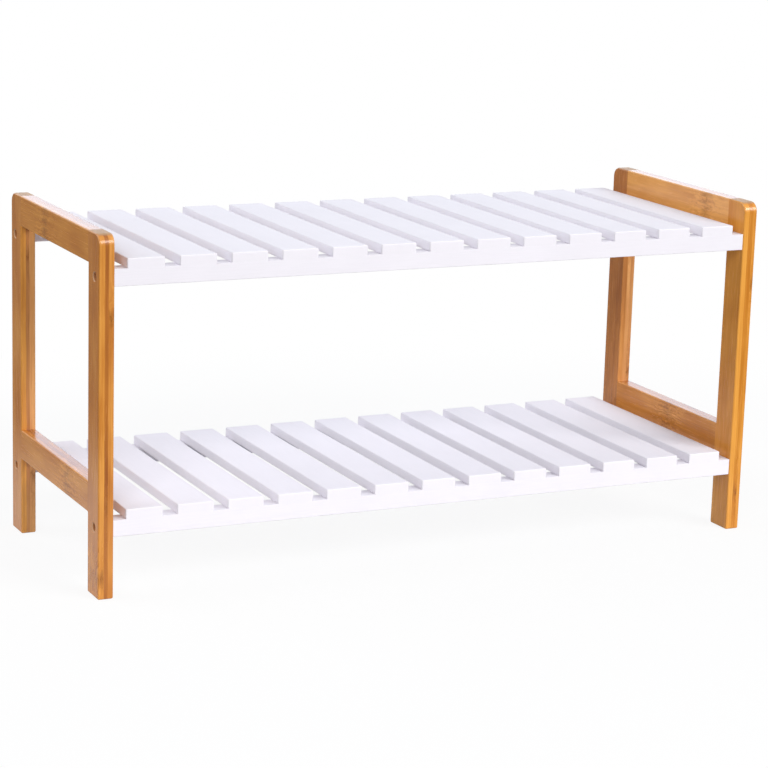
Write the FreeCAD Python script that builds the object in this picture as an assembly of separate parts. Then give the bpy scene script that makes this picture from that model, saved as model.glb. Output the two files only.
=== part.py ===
import FreeCAD, Part
import os

# Two-tier shoe bench: two bamboo end frames carry two white slatted shelves.
# Millimetres. X runs along the bench, Y from front to back, and Z up.
# The origin is on the floor under the middle of the bench.

Vector = FreeCAD.Vector

# Overall size
BENCH_LENGTH = 700.0
BENCH_DEPTH = 261.0
BENCH_HEIGHT = 342.0

# End frames, all cut from one bamboo stock
FRAME_THICKNESS = 15.0
POST_WIDTH = 30.0
SIDE_RAIL_HEIGHT = 30.0
LOWER_RAIL_TOP = 107.0
TOP_CORNER_RADIUS = 10.0
BAMBOO_EDGE_RADIUS = 1.5

# Slats and the shelf rails under them
SLAT_COUNT = 13
SLAT_WIDTH = 36.5
SLAT_THICKNESS = 9.5
SLAT_DROP = 22.5  # slat tops below the tops of the side rails
END_GAP = 12.25  # between an end frame and the slat beside it
SHELF_INSET = 1.0  # slat ends and shelf rails behind the faces of the posts
SHELF_RAIL_HEIGHT = 16.0
SHELF_RAIL_DEPTH = 18.0
SLAT_EDGE_RADIUS = 1.2
SHELF_RAIL_EDGE_RADIUS = 0.6

# Dowels that join the side rails to the posts, two in each joint
DOWEL_DIAMETER = 6.0
DOWEL_BITE = 15.0  # length held in each piece
DOWEL_CHAMFER = 0.8
DOWEL_EDGE_MARGIN = 8.0  # from a dowel's axis to the nearer edge of its rail
DOWEL_END_ROOM = 1.0
DOWEL_CLEARANCE = 0.05

# Screws that hold the shelf rails to the posts
FRAME_SCREW_SETBACK = 12.5  # from the outer face of the post's edge to the screw's axis
FRAME_SCREW_BITE = 20.0  # length held in the shelf rail
FRAME_SCREW_NECK_DIAMETER = 5.0
FRAME_SCREW_CORE_DIAMETER = 4.0
FRAME_SCREW_HEAD_DIAMETER = 7.0
FRAME_SCREW_HEAD_HEIGHT = 2.5
FRAME_SCREW_TIP = 3.0
HEX_SOCKET_WIDTH = 3.0
HEX_SOCKET_DEPTH = 1.8
COUNTERBORE_DEPTH = 5.0
COUNTERBORE_CLEARANCE = 0.5
COUNTERBORE_CHAMFER = 0.8  # at the mouth of the hole
NECK_CLEARANCE = 0.1

# Screws that hold the slats, driven up through the shelf rails
SLAT_SCREW_BITE = 4.5  # length held in the slat
SLAT_SCREW_DIAMETER = 3.0
SLAT_SCREW_HEAD_DIAMETER = 5.6
SLAT_SCREW_TIP = 2.0
SLAT_SCREW_SINK = 0.5  # head below the underside of the rail
CROSS_SLOT_WIDTH = 0.8
CROSS_SLOT_LENGTH = 3.2
CROSS_SLOT_DEPTH = 1.0

# Shared by both kinds of screw
THREAD_CLEARANCE = 0.05
SCREW_END_ROOM = 0.5
POINT_RADIUS = 0.4
OVERRUN = 5.0  # how far a cutting shape runs past the face it opens
TINY = 1e-6  # two places closer than this are the same

# Places that follow from the sizes above
FRAME_OUTER = BENCH_LENGTH / 2
FRAME_INNER = FRAME_OUTER - FRAME_THICKNESS
POST_OUTER = BENCH_DEPTH / 2
POST_INNER = POST_OUTER - POST_WIDTH
TOP_RAIL_BOTTOM = BENCH_HEIGHT - SIDE_RAIL_HEIGHT
LOWER_RAIL_BOTTOM = LOWER_RAIL_TOP - SIDE_RAIL_HEIGHT
SHELF_FACE = POST_OUTER - SHELF_INSET
SLAT_SPAN = 2 * (FRAME_INNER - END_GAP)
SLAT_PITCH = (SLAT_SPAN - SLAT_WIDTH) / (SLAT_COUNT - 1)
FRAME_SCREW_Y = POST_OUTER - FRAME_SCREW_SETBACK
RAIL_MIDDLE_Y = SHELF_FACE - SHELF_RAIL_DEPTH / 2

SIDES = {"left": -1, "right": 1}
EDGES = {"front": -1, "rear": 1}
SHELF_TOPS = {"upper": BENCH_HEIGHT - SLAT_DROP, "lower": LOWER_RAIL_TOP - SLAT_DROP}
SIDE_RAIL_BOTTOMS = {"top": TOP_RAIL_BOTTOM, "lower": LOWER_RAIL_BOTTOM}


def block(x_range, y_range, z_range):
    """A plain block; each range may be given in either order."""
    lows = [min(pair) for pair in (x_range, y_range, z_range)]
    highs = [max(pair) for pair in (x_range, y_range, z_range)]
    lengths = [high - low for low, high in zip(lows, highs)]
    return Part.makeBox(*lengths, Vector(*lows))


def turned(profile, start, direction):
    """A solid turned from (radius, distance) points, with its axis from start along direction."""
    points = [Vector(radius, 0, distance) for radius, distance in profile]
    face = Part.Face(Part.makePolygon(points + points[:1]))
    solid = Part.Solid(face.revolve(Vector(0, 0, 0), Vector(0, 0, 1), 360))
    solid.Placement = FreeCAD.Placement(start, FreeCAD.Rotation(Vector(0, 0, 1), direction))
    return solid


def frame_blank(side):
    """One whole end frame with its edges eased, before it is divided into posts and rails."""
    across = (side * FRAME_INNER, side * FRAME_OUTER)
    blank = block(across, (-POST_OUTER, POST_OUTER), (0, BENCH_HEIGHT))
    window = block(across, (-POST_INNER, POST_INNER), (LOWER_RAIL_TOP, TOP_RAIL_BOTTOM))
    leg_gap = block(across, (-POST_INNER, POST_INNER), (0, LOWER_RAIL_BOTTOM))
    blank = blank.cut(window).cut(leg_gap)
    top_corners = [edge for edge in blank.Edges if is_cross_edge(edge, POST_OUTER, BENCH_HEIGHT)]
    blank = blank.makeFillet(TOP_CORNER_RADIUS, top_corners)
    eased = [edge for edge in blank.Edges if is_face_edge(edge) or is_foot_edge(edge)]
    return blank.makeFillet(BAMBOO_EDGE_RADIUS, eased)


def runs_along_x(edge):
    return edge.BoundBox.XLength > TINY


def is_cross_edge(edge, y, z):
    """True for an edge along X at the given height and distance from the middle."""
    middle = edge.CenterOfMass
    return runs_along_x(edge) and abs(abs(middle.y) - y) < TINY and abs(middle.z - z) < TINY


def is_face_edge(edge):
    """True for an edge that lies in a frame's outer or inner face."""
    return not runs_along_x(edge)


def is_foot_edge(edge):
    """True for an edge of a foot, along X at floor height."""
    return is_cross_edge(edge, POST_OUTER, 0) or is_cross_edge(edge, POST_INNER, 0)


def frame_pieces(side_name, side):
    """The two posts and two side rails of one end frame, with every hole in them."""
    blank = frame_blank(side)
    across = (side * (FRAME_INNER - OVERRUN), side * (FRAME_OUTER + OVERRUN))
    dowel_holes = Part.makeCompound([dowel_hole(*place) for place in dowel_places(side)])
    screw_holes = Part.makeCompound([frame_screw_hole(*place) for place in frame_screw_places(side)])
    pieces = {}
    for edge_name, edge in EDGES.items():
        along = (edge * POST_INNER, edge * (POST_OUTER + OVERRUN))
        post = blank.common(block(across, along, (-OVERRUN, BENCH_HEIGHT + OVERRUN)))
        pieces[f"{side_name}_{edge_name}_post"] = post.cut(dowel_holes).cut(screw_holes)
    for rail_name, bottom in SIDE_RAIL_BOTTOMS.items():
        upright = (bottom, bottom + SIDE_RAIL_HEIGHT)
        rail = blank.common(block(across, (-POST_INNER, POST_INNER), upright))
        pieces[f"{side_name}_{rail_name}_rail"] = rail.cut(dowel_holes)
    return pieces


def dowel_places(side):
    """Where each dowel of one end frame starts, inside its post, and the way it points."""
    x = side * (FRAME_INNER + FRAME_THICKNESS / 2)
    places = []
    for edge in EDGES.values():
        y = edge * (POST_INNER + DOWEL_BITE)
        for bottom in SIDE_RAIL_BOTTOMS.values():
            low = bottom + DOWEL_EDGE_MARGIN
            high = bottom + SIDE_RAIL_HEIGHT - DOWEL_EDGE_MARGIN
            for z in (low, high):
                places.append((Vector(x, y, z), Vector(0, -edge, 0)))
    return places


def dowel(start, direction):
    radius = DOWEL_DIAMETER / 2
    length = 2 * DOWEL_BITE
    profile = [
        (0, 0),
        (radius - DOWEL_CHAMFER, 0),
        (radius, DOWEL_CHAMFER),
        (radius, length - DOWEL_CHAMFER),
        (radius - DOWEL_CHAMFER, length),
        (0, length),
    ]
    return turned(profile, start, direction)


def dowel_hole(start, direction):
    radius = DOWEL_DIAMETER / 2 + DOWEL_CLEARANCE
    far = 2 * DOWEL_BITE + DOWEL_END_ROOM
    profile = [(0, -DOWEL_END_ROOM), (radius, -DOWEL_END_ROOM), (radius, far), (0, far)]
    return turned(profile, start, direction)


def frame_screw_places(side):
    """Where each frame screw enters the outer face of a post, and the way it points."""
    places = []
    for edge in EDGES.values():
        for top in SHELF_TOPS.values():
            z = top - SLAT_THICKNESS - SHELF_RAIL_HEIGHT / 2
            places.append((Vector(side * FRAME_OUTER, edge * FRAME_SCREW_Y, z), Vector(-side, 0, 0)))
    return places


def frame_screw(start, direction):
    """A connecting screw, its flat head sunk in the post and a hex socket in the head."""
    head = FRAME_SCREW_HEAD_DIAMETER / 2
    neck = FRAME_SCREW_NECK_DIAMETER / 2
    core = FRAME_SCREW_CORE_DIAMETER / 2
    head_face = COUNTERBORE_DEPTH - FRAME_SCREW_HEAD_HEIGHT
    end = FRAME_THICKNESS + FRAME_SCREW_BITE
    profile = [
        (0, head_face),
        (head, head_face),
        (head, COUNTERBORE_DEPTH),
        (neck, COUNTERBORE_DEPTH),
        (neck, FRAME_THICKNESS),
        (core, FRAME_THICKNESS),
        (core, end - FRAME_SCREW_TIP),
        (POINT_RADIUS, end),
        (0, end),
    ]
    return turned(profile, start, direction).cut(hex_socket(start + direction * head_face, direction))


def hex_socket(start, direction):
    corner = Vector(HEX_SOCKET_WIDTH / 3**0.5, 0, 0)
    turn = FreeCAD.Rotation(Vector(0, 0, 1), 60)
    corners = [corner]
    for _ in range(6):
        corners.append(turn.multVec(corners[-1]))
    socket = Part.Face(Part.makePolygon(corners[:6] + corners[:1])).extrude(Vector(0, 0, HEX_SOCKET_DEPTH))
    socket.Placement = FreeCAD.Placement(start, FreeCAD.Rotation(Vector(0, 0, 1), direction))
    return socket


def frame_screw_hole(start, direction):
    """Chamfered counterbore and clearance hole in the post, and the pilot hole in the shelf rail's end."""
    bore = FRAME_SCREW_HEAD_DIAMETER / 2 + COUNTERBORE_CLEARANCE
    clear = FRAME_SCREW_NECK_DIAMETER / 2 + NECK_CLEARANCE
    pilot = FRAME_SCREW_CORE_DIAMETER / 2 + THREAD_CLEARANCE
    end = FRAME_THICKNESS + FRAME_SCREW_BITE + SCREW_END_ROOM
    profile = [
        (0, -OVERRUN),
        (bore + COUNTERBORE_CHAMFER, -OVERRUN),
        (bore + COUNTERBORE_CHAMFER, 0),
        (bore, COUNTERBORE_CHAMFER),
        (bore, COUNTERBORE_DEPTH),
        (clear, COUNTERBORE_DEPTH),
        (clear, FRAME_THICKNESS),
        (pilot, FRAME_THICKNESS),
        (pilot, end),
        (0, end),
    ]
    return turned(profile, start, direction)


def slat_middles():
    """X of each slat's centre line, from left to right."""
    first = -SLAT_SPAN / 2 + SLAT_WIDTH / 2
    return [first + number * SLAT_PITCH for number in range(SLAT_COUNT)]


def slat_screw_places(rail_bottom, edge):
    """Where the slat screws enter the underside of one shelf rail."""
    return [Vector(x, edge * RAIL_MIDDLE_Y, rail_bottom) for x in slat_middles()]


def slat_screw(start):
    """A countersunk screw pointing up, with a cross slot in its head."""
    head = SLAT_SCREW_HEAD_DIAMETER / 2
    shank = SLAT_SCREW_DIAMETER / 2
    end = SHELF_RAIL_HEIGHT + SLAT_SCREW_BITE
    profile = [
        (0, SLAT_SCREW_SINK),
        (head, SLAT_SCREW_SINK),
        (shank, SLAT_SCREW_SINK + head - shank),
        (shank, end - SLAT_SCREW_TIP),
        (POINT_RADIUS, end),
        (0, end),
    ]
    screw = turned(profile, start, Vector(0, 0, 1))
    z = start.z + SLAT_SCREW_SINK
    wide = CROSS_SLOT_LENGTH / 2
    thin = CROSS_SLOT_WIDTH / 2
    for reach_x, reach_y in ((wide, thin), (thin, wide)):
        x_range = (start.x - reach_x, start.x + reach_x)
        y_range = (start.y - reach_y, start.y + reach_y)
        screw = screw.cut(block(x_range, y_range, (z, z + CROSS_SLOT_DEPTH)))
    return screw


def slat_screw_hole(start):
    """Countersink and hole through the shelf rail, and the pilot hole in the slat."""
    head = SLAT_SCREW_HEAD_DIAMETER / 2 + THREAD_CLEARANCE
    shank = SLAT_SCREW_DIAMETER / 2 + THREAD_CLEARANCE
    end = SHELF_RAIL_HEIGHT + SLAT_SCREW_BITE + SCREW_END_ROOM
    profile = [
        (0, -OVERRUN),
        (head, -OVERRUN),
        (head, SLAT_SCREW_SINK),
        (shank, SLAT_SCREW_SINK + head - shank),
        (shank, end),
        (0, end),
    ]
    return turned(profile, start, Vector(0, 0, 1))


def is_seam(edge, height):
    """True for an edge where the end of a slat meets the outer face of its shelf rail."""
    middle = edge.CenterOfMass
    on_face = abs(abs(middle.y) - SHELF_FACE) < TINY
    return runs_along_x(edge) and on_face and abs(middle.z - height) < TINY


def shelf_pieces(shelf_name, top):
    """The slats, shelf rails and slat screws of one shelf."""
    slat_bottom = top - SLAT_THICKNESS
    rail_bottom = slat_bottom - SHELF_RAIL_HEIGHT
    pieces = {}
    screws = []
    slat_holes = []
    end_holes = [frame_screw_hole(*place) for side in SIDES.values() for place in frame_screw_places(side)]
    for edge_name, edge in EDGES.items():
        places = slat_screw_places(rail_bottom, edge)
        holes = [slat_screw_hole(place) for place in places]
        depth = (edge * SHELF_FACE, edge * (SHELF_FACE - SHELF_RAIL_DEPTH))
        rail = block((-FRAME_INNER, FRAME_INNER), depth, (rail_bottom, slat_bottom))
        eased = [line for line in rail.Edges if runs_along_x(line) and not is_seam(line, slat_bottom)]
        rail = rail.makeFillet(SHELF_RAIL_EDGE_RADIUS, eased)
        pieces[f"{shelf_name}_{edge_name}_rail"] = rail.cut(Part.makeCompound(holes + end_holes))
        screws += [slat_screw(place) for place in places]
        slat_holes += holes
    for number, x in enumerate(slat_middles(), start=1):
        across = (x - SLAT_WIDTH / 2, x + SLAT_WIDTH / 2)
        slat = block(across, (-SHELF_FACE, SHELF_FACE), (slat_bottom, top))
        eased = [line for line in slat.Edges if not is_seam(line, slat_bottom)]
        slat = slat.makeFillet(SLAT_EDGE_RADIUS, eased)
        pieces[f"{shelf_name}_slat_{number:02d}"] = slat.cut(Part.makeCompound(slat_holes))
    pieces[f"{shelf_name}_slat_screws"] = Part.makeCompound(screws)
    return pieces


def bench():
    """Every piece of the bench by its name."""
    pieces = {}
    for side_name, side in SIDES.items():
        pieces.update(frame_pieces(side_name, side))
        dowels = [dowel(*place) for place in dowel_places(side)]
        screws = [frame_screw(*place) for place in frame_screw_places(side)]
        pieces[f"{side_name}_frame_dowels"] = Part.makeCompound(dowels)
        pieces[f"{side_name}_frame_screws"] = Part.makeCompound(screws)
    for shelf_name, top in SHELF_TOPS.items():
        pieces.update(shelf_pieces(shelf_name, top))
    return pieces


os.makedirs("parts", exist_ok=True)
for name, shape in bench().items():
    if len(shape.Solids) == 1:
        shape = shape.Solids[0]
    shape.exportStep(f"parts/{name}.step")
    print(name, len(shape.Solids), round(shape.Volume, 1), shape.isValid())
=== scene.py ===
"""Two-tier shoe bench: two laminated bamboo end frames carry two white painted slatted shelves.

Metres, +Z up, with the bench's length along X and its front towards -Y.
"""

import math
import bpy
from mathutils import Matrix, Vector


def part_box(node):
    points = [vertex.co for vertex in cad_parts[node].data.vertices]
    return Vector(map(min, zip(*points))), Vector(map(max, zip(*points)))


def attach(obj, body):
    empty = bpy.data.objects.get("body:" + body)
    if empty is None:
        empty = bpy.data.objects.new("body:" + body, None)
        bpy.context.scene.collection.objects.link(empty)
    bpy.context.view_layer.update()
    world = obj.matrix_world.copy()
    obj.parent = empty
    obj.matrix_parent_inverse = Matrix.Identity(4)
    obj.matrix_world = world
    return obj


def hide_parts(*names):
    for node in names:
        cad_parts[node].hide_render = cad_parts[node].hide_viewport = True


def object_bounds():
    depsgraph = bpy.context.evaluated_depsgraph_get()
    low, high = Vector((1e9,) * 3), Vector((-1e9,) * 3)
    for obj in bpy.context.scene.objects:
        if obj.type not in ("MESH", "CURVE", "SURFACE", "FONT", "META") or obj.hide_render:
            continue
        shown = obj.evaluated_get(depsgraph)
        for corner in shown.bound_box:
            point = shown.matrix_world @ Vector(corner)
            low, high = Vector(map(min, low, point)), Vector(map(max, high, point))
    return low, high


bl_info = {
    "name": "Slatted Shoe Bench",
    "version": (1, 0, 0),
    "blender": (4, 5, 0),
    "location": "View3D > Sidebar > Shoe Bench",
    "description": "Models the bamboo frames and painted shelves of a two-tier shoe bench on a plain stage",
    "category": "Mesh",
}

import bmesh
import bpy
from bpy.props import FloatProperty, FloatVectorProperty, PointerProperty
from mathutils import Quaternion, Vector

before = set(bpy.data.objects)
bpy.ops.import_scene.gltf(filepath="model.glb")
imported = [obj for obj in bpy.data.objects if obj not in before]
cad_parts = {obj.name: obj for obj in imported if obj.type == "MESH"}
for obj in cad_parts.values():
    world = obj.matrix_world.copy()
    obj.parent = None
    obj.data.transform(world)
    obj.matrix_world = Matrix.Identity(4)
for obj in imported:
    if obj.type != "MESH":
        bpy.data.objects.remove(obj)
CAD_LOW, CAD_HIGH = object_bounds()

MM = 0.001
TINY = 1e-6  # two places closer than this are the same
SQUARE_ON = 0.99  # cosine past which a face looks straight along a direction
BODY = "root"

SIDES = {"left": -1, "right": 1}
ENDS = {"front": -1, "rear": 1}
SHELVES = ("upper", "lower")
SLATS = range(1, 14)
X_AXIS, Y_AXIS, Z_AXIS = Vector((1, 0, 0)), Vector((0, 1, 0)), Vector((0, 0, 1))
WHITE = (1, 1, 1)

# How finely rounded shapes are divided
CORNER_STEPS = 12
EDGE_STEPS = 4
HOLE_SIDES = 40
SHARP_ANGLE = math.radians(30)
SMOOTH_ANGLE = math.radians(40)

# Holes that the frame screws sit in
SCREW_HEAD_RADIUS = 3.5 * MM
COUNTERBORE_RADIUS = 4.0 * MM
COUNTERBORE_DEPTH = 5.0 * MM
COUNTERBORE_CHAMFER = 0.8 * MM
NECK_HOLE_RADIUS = 2.6 * MM
PILOT_HOLE_RADIUS = 2.05 * MM
PILOT_HOLE_DEPTH = 20.5 * MM

# Holes that the slat screws sit in
COUNTERSINK_RADIUS = 2.85 * MM
COUNTERSINK_SINK = 0.5 * MM
SHANK_HOLE_RADIUS = 1.55 * MM
SLAT_HOLE_DEPTH = 5.0 * MM

# Holes that the dowels sit in
DOWEL_HOLE_RADIUS = 3.05 * MM
DOWEL_HOLE_DEPTH = 16.0 * MM
DOWEL_MARGIN = 8.0 * MM  # from a dowel's axis to the nearer edge of its rail

OVERRUN = 2.0 * MM  # how far a drill reaches past the face that it opens
IN_BORE, ON_CHAMFER = 1.0, 0.5  # marks on the faces of a counterbore, which the bamboo finish reads

# The three laminated strips of each bamboo member, from its outer to its inner face: how pale they are,
# how strong their colour is, where the second and third start, and where each has a culm node, in mm
LAMINATION = {
    "left_front_post": ((0.72, 0.20, 0.62), (0.98, 0.97, 0.97), (5.6, 9.3), (20, 88, 266)),
    "left_rear_post": ((0.80, 0.42, 0.84), (0.98, 0.90, 0.90), (5.3, 8.8), (386, 281, 60)),
    "right_front_post": ((0.76, 0.64, 0.96), (1.0, 1.0, 1.0), (4.2, 9.2), (260, 41, 386)),
    "right_rear_post": ((0.60, 0.70, 0.50), (0.89, 0.89, 0.93), (5.0, 9.0), (120, 250, 60)),
    "left_top_rail": ((0.88, 0.60, 0.55), (1.0, 1.0, 1.0), (5.0, 10.0), (126, 40, 90)),
    "left_lower_rail": ((0.82, 0.45, 0.52), (1.0, 1.0, 1.0), (5.0, 10.0), (60, 100, 150)),
    "right_top_rail": ((0.55, 0.50, 1.05), (1.0, 1.0, 0.94), (5.0, 10.0), (90, 10, 42)),
    "right_lower_rail": ((0.50, 0.55, 0.82), (1.0, 1.0, 0.98), (5.0, 10.0), (60, 20, 95)),
}
# Where along the bamboo stock each member was cut, in millimetres
CUT_STEP = 1130.0
CUT_FROM = {name: CUT_STEP * number for number, name in enumerate(LAMINATION)}

# The floor, in metres
FLOOR_SIZE = 60.0
FLOOR_DROP = 0.1 * MM  # how far it lies under the feet
FLOOR_STRETCH = (0.75, 1, 1)  # scales places on it, so that rings round the bench are longer along X
MOTTLE_SHADE = 0.98  # how bright its darker mottles are beside the rest

# Rings on the floor round the bench, from their inner to their outer edge, in metres
LIT_RING = (0.35, 0.75)
SHADOW_RING = (0.5, 0.9)
MIRROR_RING = (0.30, 0.60)
LIT_WHITE = 0.66  # how white the floor inside its ring lights the bench
MIRROR_WHITE = (0.65, 0.12)  # how white the floor is in reflections, inside its ring and outside

# Soft lamps: where each stands, and how wide and high it is, in metres
LAMPS = {
    "key": ((3.00, -4.80, 3.40), (4.0, 2.5)),
    "front": ((-3.00, -4.50, 3.20), (3.0, 2.0)),
    "fill": ((-2.98, 1.60, 2.10), (3.0, 3.0)),
    "wash": ((1.20, 3.00, 1.20), (4.5, 1.6)),
}
SENSOR_WIDTH = 36.0  # of the camera, in millimetres
VIEW_DEPTH = 200.0  # how far the camera sees, in metres


class BambooSettings(bpy.types.PropertyGroup):
    """Sizes and finish of the bamboo end frames."""

    corner_radius: FloatProperty(
        name="Corner radius", description="Radius of the top outer corners of the posts",
        default=10 * MM, min=1 * MM, max=14 * MM, unit="LENGTH")
    edge_radius: FloatProperty(
        name="Edge radius", description="Radius of the eased edges of posts and side rails",
        default=1.5 * MM, min=0.2 * MM, max=4 * MM, unit="LENGTH")
    node_spacing: FloatProperty(
        name="Node spacing", description="Distance between the culm nodes along a strip",
        default=430 * MM, min=80 * MM, max=800 * MM, unit="LENGTH")
    pale: FloatVectorProperty(
        name="Pale strip", description="Colour of the palest strips",
        default=(0.84, 0.375, 0.06), min=0, max=1, subtype="COLOR")
    caramel: FloatVectorProperty(
        name="Caramel strip", description="Colour of the middling strips",
        default=(0.57, 0.195, 0.015), min=0, max=1, subtype="COLOR")
    toasted: FloatVectorProperty(
        name="Toasted strip", description="Colour of the darkest strips",
        default=(0.33, 0.090, 0.006), min=0, max=1, subtype="COLOR")
    node_brown: FloatVectorProperty(
        name="Node mark", description="Colour of the culm nodes",
        default=(0.24, 0.075, 0.008), min=0, max=1, subtype="COLOR")
    end_grain: FloatVectorProperty(
        name="End grain", description="Colour of the cut ends of the posts",
        default=(0.52, 0.35, 0.20), min=0, max=1, subtype="COLOR")
    bare: FloatVectorProperty(
        name="Bare bamboo", description="Colour of the bare bamboo at the mouths of the screw holes",
        default=(0.62, 0.36, 0.19), min=0, max=1, subtype="COLOR")
    scorched: FloatVectorProperty(
        name="Scorched bamboo", description="Colour of the bamboo inside the screw holes",
        default=(0.50, 0.20, 0.07), min=0, max=1, subtype="COLOR")
    lacquer_roughness: FloatProperty(
        name="Lacquer roughness", description="Roughness of the clear satin lacquer",
        default=0.24, min=0.05, max=1, subtype="FACTOR")


class PaintSettings(bpy.types.PropertyGroup):
    """Sizes and finish of the painted shelves."""

    slat_radius: FloatProperty(
        name="Slat edge radius", description="Radius of the eased edges of the slats",
        default=1.2 * MM, min=0.1 * MM, max=4 * MM, unit="LENGTH")
    rail_radius: FloatProperty(
        name="Rail edge radius", description="Radius of the eased edges of the shelf rails",
        default=0.6 * MM, min=0.1 * MM, max=3 * MM, unit="LENGTH")
    seam_radius: FloatProperty(
        name="Seam radius", description="Radius of the shelf rails' edges under the ends of the slats",
        default=0.2 * MM, min=0.05 * MM, max=1 * MM, unit="LENGTH")
    white: FloatVectorProperty(
        name="White", description="Colour of the satin paint",
        default=(0.882, 0.857, 0.909), min=0, max=1, subtype="COLOR")
    shaded_white: FloatVectorProperty(
        name="Thin white", description="Colour of the paint where it lies thin over the grain",
        default=(0.848, 0.824, 0.874), min=0, max=1, subtype="COLOR")
    roughness: FloatProperty(
        name="Paint roughness", description="Roughness of the satin paint",
        default=0.65, min=0.05, max=1, subtype="FACTOR")


class HardwareSettings(bpy.types.PropertyGroup):
    """Finish of the screws and dowels."""

    zinc: FloatVectorProperty(
        name="Zinc", description="Colour of the zinc plated screws",
        default=(0.55, 0.55, 0.56), min=0, max=1, subtype="COLOR")
    dull_zinc: FloatVectorProperty(
        name="Dull zinc", description="Colour of the duller patches of the plating",
        default=(0.36, 0.36, 0.37), min=0, max=1, subtype="COLOR")
    beech: FloatVectorProperty(
        name="Beech", description="Colour of the dowels",
        default=(0.70, 0.52, 0.32), min=0, max=1, subtype="COLOR")
    beech_grain: FloatVectorProperty(
        name="Beech grain", description="Colour of the grain lines in the dowels",
        default=(0.52, 0.34, 0.19), min=0, max=1, subtype="COLOR")


class StageSettings(bpy.types.PropertyGroup):
    """Floor, light and camera."""

    floor_white: FloatVectorProperty(
        name="Floor", description="Colour of the floor to the camera and round the bench",
        default=(0.92, 0.92, 0.92), min=0, max=1, subtype="COLOR")
    floor_grey: FloatVectorProperty(
        name="Far floor", description="Colour of the floor away from the bench, as it lights the bench",
        default=(0.12, 0.12, 0.12), min=0, max=1, subtype="COLOR")
    floor_shadow: FloatProperty(
        name="Floor shadow", description="How much of the floor's own shading the camera sees",
        default=0.10, min=0, max=1, subtype="FACTOR")
    sky_tint: FloatVectorProperty(
        name="Sky", description="Colour of the even light from all round",
        default=(0.97, 0.96, 1.0), min=0, max=1, subtype="COLOR")
    sky_strength: FloatProperty(
        name="Sky strength", description="Strength of the even light from all round",
        default=0.235, min=0, max=3)
    key_power: FloatProperty(
        name="Key power", description="Power of the soft lamp at the front right, in watts",
        default=350, min=0, max=2000)
    front_power: FloatProperty(
        name="Front power", description="Power of the soft lamp at the front left, in watts",
        default=112, min=0, max=2000)
    fill_power: FloatProperty(
        name="Fill power", description="Power of the soft lamp at the rear left, in watts",
        default=68, min=0, max=1000)
    wash_power: FloatProperty(
        name="Wash power", description="Power of the wide lamp behind the bench, in watts",
        default=33, min=0, max=1000)
    fill_tint: FloatVectorProperty(
        name="Fill tint", description="Colour of the light from the rear left",
        default=(0.94, 0.96, 1.0), min=0, max=1, subtype="COLOR")
    wash_tint: FloatVectorProperty(
        name="Wash tint", description="Colour of the cool light from behind the bench",
        default=(0.58, 0.77, 1.0), min=0, max=1, subtype="COLOR")
    camera_place: FloatVectorProperty(
        name="Camera place", description="Where the camera stands",
        default=(-1.0986, -2.2738, 0.7360), subtype="TRANSLATION", unit="LENGTH")
    camera_aim: FloatVectorProperty(
        name="Camera aim", description="The point in the middle of the picture",
        default=(-0.0001, 0.0, 0.1507), subtype="TRANSLATION", unit="LENGTH")
    camera_roll: FloatProperty(
        name="Camera roll", description="Tilt of the camera about its line of sight",
        default=math.radians(1.69), subtype="ANGLE")
    focal_length: FloatProperty(
        name="Focal length", description="Focal length in millimetres on a sensor 36 mm wide",
        default=119.93, min=10, max=400)


# Modelling by hand


def start_block(low, high):
    """Adds a block between two corners, alone in the selection, with its place in its mesh."""
    bpy.ops.object.select_all(action="DESELECT")
    bpy.ops.mesh.primitive_cube_add(size=1, location=(low + high) / 2, scale=high - low)
    bpy.ops.object.transform_apply(location=True, rotation=True, scale=True)
    return bpy.context.active_object


def edge_middle(edge):
    """The point halfway along an edge."""
    return (edge.verts[0].co + edge.verts[1].co) / 2


def runs_along(edge, axis):
    """True for an edge along an axis."""
    span = edge.verts[1].co - edge.verts[0].co
    return span.cross(axis).length < TINY


def is_front_top(edge, low, high):
    """True for the edge between the front and the top of the block between two corners."""
    middle = edge_middle(edge)
    return runs_along(edge, X_AXIS) and abs(middle.y - low.y) < TINY and abs(middle.z - high.z) < TINY


def edit_edges(piece, wanted):
    """Opens a piece in edit mode with just the edges selected that pass a test."""
    bpy.ops.object.mode_set(mode="EDIT")
    bpy.ops.mesh.select_mode(type="EDGE")
    bpy.ops.mesh.select_all(action="DESELECT")
    mesh = bmesh.from_edit_mesh(piece.data)
    for edge in mesh.edges:
        edge.select_set(wanted(edge))
    bmesh.update_edit_mesh(piece.data)


def round_edges(piece, wanted, radius, steps):
    """Rounds the edges of a piece that pass a test."""
    edit_edges(piece, wanted)
    bpy.ops.mesh.bevel(offset=radius, segments=steps, affect="EDGES", clamp_overlap=True)
    bpy.ops.object.mode_set(mode="OBJECT")


def crease_edges(piece, wanted):
    """Keeps the shading crisp along the edges of a piece that pass a test."""
    edit_edges(piece, wanted)
    bpy.ops.mesh.mark_sharp()
    bpy.ops.object.mode_set(mode="OBJECT")


def cut_across(piece, heights):
    """Divides the faces of a piece at some heights, and takes nothing away."""
    bpy.ops.object.mode_set(mode="EDIT")
    for height in heights:
        bpy.ops.mesh.select_all(action="SELECT")
        bpy.ops.mesh.bisect(plane_co=(0, 0, height), plane_no=(0, 0, 1))
    bpy.ops.object.mode_set(mode="OBJECT")


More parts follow.
